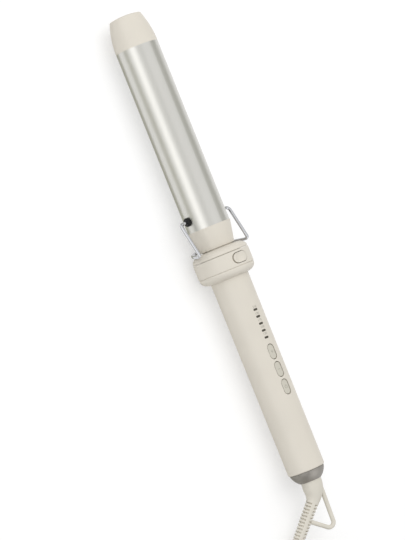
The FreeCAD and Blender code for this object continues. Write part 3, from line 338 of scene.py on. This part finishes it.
def plus_sign():
    drawing = bmesh.new()
    bmesh.ops.create_grid(drawing, x_segments=3, y_segments=3, size=MARK_HALF)
    corners = [v for v in drawing.verts if min(abs(v.co.x), abs(v.co.y)) > MARK_HALF / 2]
    bmesh.ops.delete(drawing, geom=corners, context="VERTS")
    for vert in drawing.verts:
        for axis in (0, 1):
            if abs(vert.co[axis]) < MARK_HALF / 2:
                vert.co[axis] = math.copysign(STROKE / 2, vert.co[axis])
    return drawing


def bar(width, height, middle):
    drawing = bmesh.new()
    bmesh.ops.create_grid(drawing, x_segments=2, y_segments=2, size=1.0)
    bmesh.ops.scale(drawing, verts=drawing.verts, vec=(width / 2, height / 2, 1))
    bmesh.ops.translate(drawing, verts=drawing.verts, vec=(0, middle, 0))
    return drawing


def open_ring(radius, gap):
    drawing = bmesh.new()
    start = Matrix.Rotation(gap / 2, 3, "Z")
    ends = [drawing.verts.new(start @ Vector((0, r, 0))) for r in (radius - STROKE / 2, radius + STROKE / 2)]
    edge = drawing.edges.new(ends)
    bmesh.ops.spin(drawing, geom=[*ends, edge], cent=(0, 0, 0), axis=(0, 0, 1), angle=math.tau - gap,
                   steps=RING_STEPS)
    bmesh.ops.recalc_face_normals(drawing, faces=drawing.faces)
    return drawing


signs = (
    [plus_sign()],
    [bar(2 * MARK_HALF, STROKE, 0)],
    [open_ring(MARK_HALF, RING_GAP), bar(STROKE, MARK_HALF, POWER_BAR_MIDDLE)],
)
for key, drawings in zip(KEYS, signs):
    key_low, key_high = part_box(key)
    station = (key_low.x + key_high.x) / 2 / MM
    for drawing in drawings:
        wrap(drawing, station, handle_radius(station) - KEY_RECESS + INK_LIFT)
    add_mark(key.replace("button", "sign"), drawings, key)
    print(key, "sign at", round(station, 2))

# %% [markdown]
# ## Mains cord
# About 1.8 m of 6 mm round cord leaves the ribbed boot, lies in a tied coil of four layers and ends at a plug. A cord
# is a tube of constant thickness along a line, which is exactly a curve with a round bevel. One NURBS spline of order
# 3 keeps the bends smooth. Its points are the places that the cord passes: spirals in and out, with a half turn
# between layers on which the cord climbs by its own thickness. An order 3 spline cuts the corners of its points, so
# the coil's points lie a little outside the line that is wanted. Lengths here are in millimetres, apart from the
# cord's own, which is in metres.

# %% Lay the cord
CORD_DIAMETER = 6.0
CORD_SIDES = 6
CORD_STEPS = 4
SPLINE_ORDER = 3
TURN_STEP = 6.6
COIL_CENTRE = Vector((276.943, -13.585, 0))
COIL_START = -1.948404
COIL_OUTER = 39.35
COIL_FLOOR = 4.3
LAYER_QUARTERS = (7, 6, 6, 7)
STEPS_PER_QUARTER = 4
CORNER_CUT = 0.981
BOOT_EXIT = Vector((224.076, -30.997, 9.918))
LEAD = [(232.679, -38.859, 7.057), (245.6, -44.0, 4.3), (256.8, -48.1, 4.3)]
TAIL = [
    (267.951, -52.523, 24.1), (273.467, -54.883, 24.1), (283.2, -56.2, 22.6), (304.3, -53.5, 17.4),
    (313.9, -49.4, 14.2), (322.0, -42.7, 11.2), (327.7, -33.9, 8.6), (330.6, -24.0, 7.0), (330.6, -18.0, 7.0),
]


def coil_points():
    rate = TURN_STEP / (2 * math.pi)
    step = math.pi / 2 / STEPS_PER_QUARTER
    angle, radius, height, way = COIL_START, COIL_OUTER, COIL_FLOOR, -1
    places = [(angle, radius, height)]
    for layer, quarters in enumerate(LAYER_QUARTERS):
        for _ in range(quarters * STEPS_PER_QUARTER):
            angle += step
            radius += way * rate * step
            places.append((angle, radius, height))
        if layer < len(LAYER_QUARTERS) - 1:
            half_turn = 2 * STEPS_PER_QUARTER
            for k in range(1, half_turn + 1):
                share = math.pi * k / half_turn
                climb = TURN_STEP * (1 - math.cos(share)) / 2
                places.append((angle + k * step, radius + way * rate * math.sin(share), height + climb))
            angle += math.pi
            height += TURN_STEP
            way = -way
    for angle, radius, height in places:
        away = Vector((math.cos(angle), math.sin(angle), 0)) * radius / CORNER_CUT
        yield COIL_CENTRE + away + Vector((0, 0, height))


route = [BOOT_EXIT] + [Vector(place) for place in LEAD] + list(coil_points()) + [Vector(place) for place in TAIL]
cord_curve = bpy.data.curves.new("mains_cord", "CURVE")
cord_curve.dimensions = "3D"
cord_curve.bevel_depth = CORD_DIAMETER / 2 * MM
cord_curve.bevel_resolution = CORD_SIDES
cord_curve.resolution_u = CORD_STEPS
cord_curve.use_fill_caps = True
spline = cord_curve.splines.new("NURBS")
spline.points.add(len(route) - 1)
for point, place in zip(spline.points, route):
    point.co = (*(place * MM), 1)
spline.order_u = SPLINE_ORDER
spline.use_endpoint_u = True
cord_curve.materials.append(pvc)
cord = bpy.data.objects.new("mains_cord", cord_curve)
bpy.context.collection.objects.link(cord)
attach(cord, "swivel")
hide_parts("cord_lead", "cord_coil", "cord_tail")
print(len(route), "points in the cord")

# %% [markdown]
# ## Floor and room
# A white paper floor catches a soft shadow. A little glow of its own, seen by the camera, by mirrors and through
# glass, lifts the lit paper to white while the shadow stays. The room is an even white in the same way: a plain level
# lights the styler, and a full white shows behind it. The Light Path node tells the two apart by the kind of ray.

# %% Build the floor and the room
FLOOR_HALF = 4.0
FLOOR_GLOW = 0.45
ROOM_LIGHT = 0.68

floor_mesh = bmesh.new()
bmesh.ops.create_grid(floor_mesh, x_segments=1, y_segments=1, size=FLOOR_HALF)
floor_data = bpy.data.meshes.new("paper_floor")
floor_mesh.to_mesh(floor_data)
floor_mesh.free()
floor = bpy.data.objects.new("paper_floor", floor_data)
bpy.context.collection.objects.link(floor)


def seen_share(tree):
    # 1 for rays from the camera, from mirrors and through glass, 0 for the light on the object
    path = add_node(tree, "ShaderNodeLightPath").outputs
    mirror = add_node(tree, "ShaderNodeMath", {0: path["Is Camera Ray"], 1: path["Is Glossy Ray"]},
                      operation="MAXIMUM").outputs[0]
    return add_node(tree, "ShaderNodeMath", {0: mirror, 1: path["Is Transmission Ray"]},
                    operation="MAXIMUM").outputs[0]


paper = bpy.data.materials.new("white_studio_paper")
paper.use_nodes = True
tree = paper.node_tree
tree.nodes.clear()
matt = add_node(tree, "ShaderNodeBsdfDiffuse", {"Color": linear("#F4F4F4")}).outputs[0]
half = add_node(tree, "ShaderNodeBsdfDiffuse", {"Color": linear("#CACACA")}).outputs[0]
glow = add_node(tree, "ShaderNodeEmission", {"Color": linear("#FFFFFF"), "Strength": FLOOR_GLOW}).outputs[0]
both = add_node(tree, "ShaderNodeAddShader", {0: half, 1: glow}).outputs[0]
shown = add_node(tree, "ShaderNodeMixShader", {0: seen_share(tree), 1: matt, 2: both}).outputs[0]
add_node(tree, "ShaderNodeOutputMaterial", {"Surface": shown})
floor_data.materials.append(paper)

world = bpy.data.worlds.new("white_room")
world.use_nodes = True
tree = world.node_tree
tree.nodes.clear()
lit = add_node(tree, "ShaderNodeBackground", {"Color": linear("#FFFFFF"), "Strength": ROOM_LIGHT}).outputs[0]
white = add_node(tree, "ShaderNodeBackground", {"Color": linear("#FFFFFF"), "Strength": 1.0}).outputs[0]
shown = add_node(tree, "ShaderNodeMixShader", {0: seen_share(tree), 1: lit, 2: white}).outputs[0]
add_node(tree, "ShaderNodeOutputWorld", {"Surface": shown})
bpy.context.scene.world = world
print("floor of", 2 * FLOOR_HALF, "m in a white room")

# %% [markdown]
# ## Softbox and cards
# One broad softbox hangs over the styler, a little towards its tip, so the tops and the faces towards the tip are the
# brightest. Mirrors don't see it, so no surface gets a hard white stripe. A bright round metal only shows its form
# when its mirror image has darker and lighter parts, so long cards lie and stand beside the styler: a pale grey strip
# under it, which is painted shade that stands in for the shadowed floor beneath the barrel in its mirror image, a grey
# one on the floor in front, a bright white one standing in front, an off-white one overhead and a grey one behind. A
# narrow dark card stands beyond the tip, for the bends of the wire. Beyond the tail a dark card and a bright one stand
# side by side, so the satin cap has a dark half and a light one. Every card glows at its own level, and only mirrors
# see it. Each is a flat grid, made in place by the matrix that it is given.

# %% Hang the softbox and set the cards
SOFTBOX_PLACE = (-0.4, -0.2, 1.25)
SOFTBOX_SIZE = (1.6, 1.2)
SOFTBOX_WATTS = 8.5
CARD_ENDS = (-1.0, 1.0)
REAR_ENDS = (-1.0, 0.3)
CARD_LIFT = 0.001
END_DISTANCE = 0.6

softbox = bpy.data.lights.new("top_softbox", "AREA")
softbox.shape = "RECTANGLE"
softbox.size, softbox.size_y = SOFTBOX_SIZE
softbox.energy = SOFTBOX_WATTS
lamp = bpy.data.objects.new("top_softbox", softbox)
bpy.context.collection.objects.link(lamp)
lamp.location = SOFTBOX_PLACE
lamp.rotation_mode = "QUATERNION"
lamp.rotation_quaternion = (Vector(SOFTBOX_PLACE) - Vector((0, 0, axis_z))).to_track_quat("Z", "Y")
lamp.visible_glossy = False


def card(name, middle, size, turn, colour, level):
    place = Matrix.Translation(middle) @ turn @ Matrix.Diagonal((*size, 1, 1))
    square = bmesh.new()
    bmesh.ops.create_grid(square, x_segments=1, y_segments=1, size=0.5, matrix=place)
    data = bpy.data.meshes.new(name)
    square.to_mesh(data)
    square.free()
    shade = bpy.data.materials.new(name)
    shade.use_nodes = True
    tree = shade.node_tree
    tree.nodes.clear()
    glow = add_node(tree, "ShaderNodeEmission", {"Color": linear(colour), "Strength": level}).outputs[0]
    add_node(tree, "ShaderNodeOutputMaterial", {"Surface": glow})
    data.materials.append(shade)
    sheet = bpy.data.objects.new(name, data)
    bpy.context.collection.objects.link(sheet)
    sheet.visible_camera = sheet.visible_diffuse = sheet.visible_shadow = False
    return sheet


def long_card(name, edge, other_edge, colour, level=1.0, ends=CARD_ENDS):
    # Runs along the styler between two edges, each given by its y and its height
    (x0, x1), (y0, z0), (y1, z1) = ends, edge, other_edge
    middle = ((x0 + x1) / 2, (y0 + y1) / 2, (z0 + z1) / 2)
    size = (x1 - x0, math.hypot(y1 - y0, z1 - z0))
    turn = Matrix.Rotation(math.atan2(z1 - z0, y1 - y0), 4, "X")
    return card(name, middle, size, turn, colour, level)


def end_card(name, x, corner, other_corner, colour, level=1.0):
    # Stands across the styler's line between two corners, each given by its y and its height
    (y0, z0), (y1, z1) = corner, other_corner
    middle = (x, (y0 + y1) / 2, (z0 + z1) / 2)
    turn = Matrix.Rotation(math.pi / 2, 4, "Y")
    return card(name, middle, (z1 - z0, y1 - y0), turn, colour, level)


cards = [
    # Painted shade: a pale grey strip under the barrel that mirrors show in place of the shadowed floor beneath it
    long_card("painted_shade_under_card", (-0.0215, CARD_LIFT), (-0.01, CARD_LIFT), "#B2B2A4"),
    long_card("floor_card", (-0.28, CARD_LIFT), (-0.058, CARD_LIFT), "#C4C4B8"),
    long_card("front_card", (-0.35, 0.1), (-0.35, 0.32), "#FFFFFF", level=1.6),
    long_card("top_card", (-0.38, 0.49), (-0.15, 0.61), "#EBEBE9"),
    long_card("rear_card", (0.35, 0.11), (0.35, 0.43), "#C2C2BC", ends=REAR_ENDS),
    end_card("tip_card", -END_DISTANCE, (-0.08, CARD_LIFT), (0.08, 0.6), "#303030"),
    end_card("tail_card", END_DISTANCE, (-0.48, CARD_LIFT), (-0.14, 0.5), "#303030"),
    end_card("cap_card", END_DISTANCE, (-0.1, 0.2), (0.26, 0.6), "#FFFFFF", level=2.1),
]
bpy.context.scene.view_settings.view_transform = "Standard"
print("softbox and", len(cards), "cards")
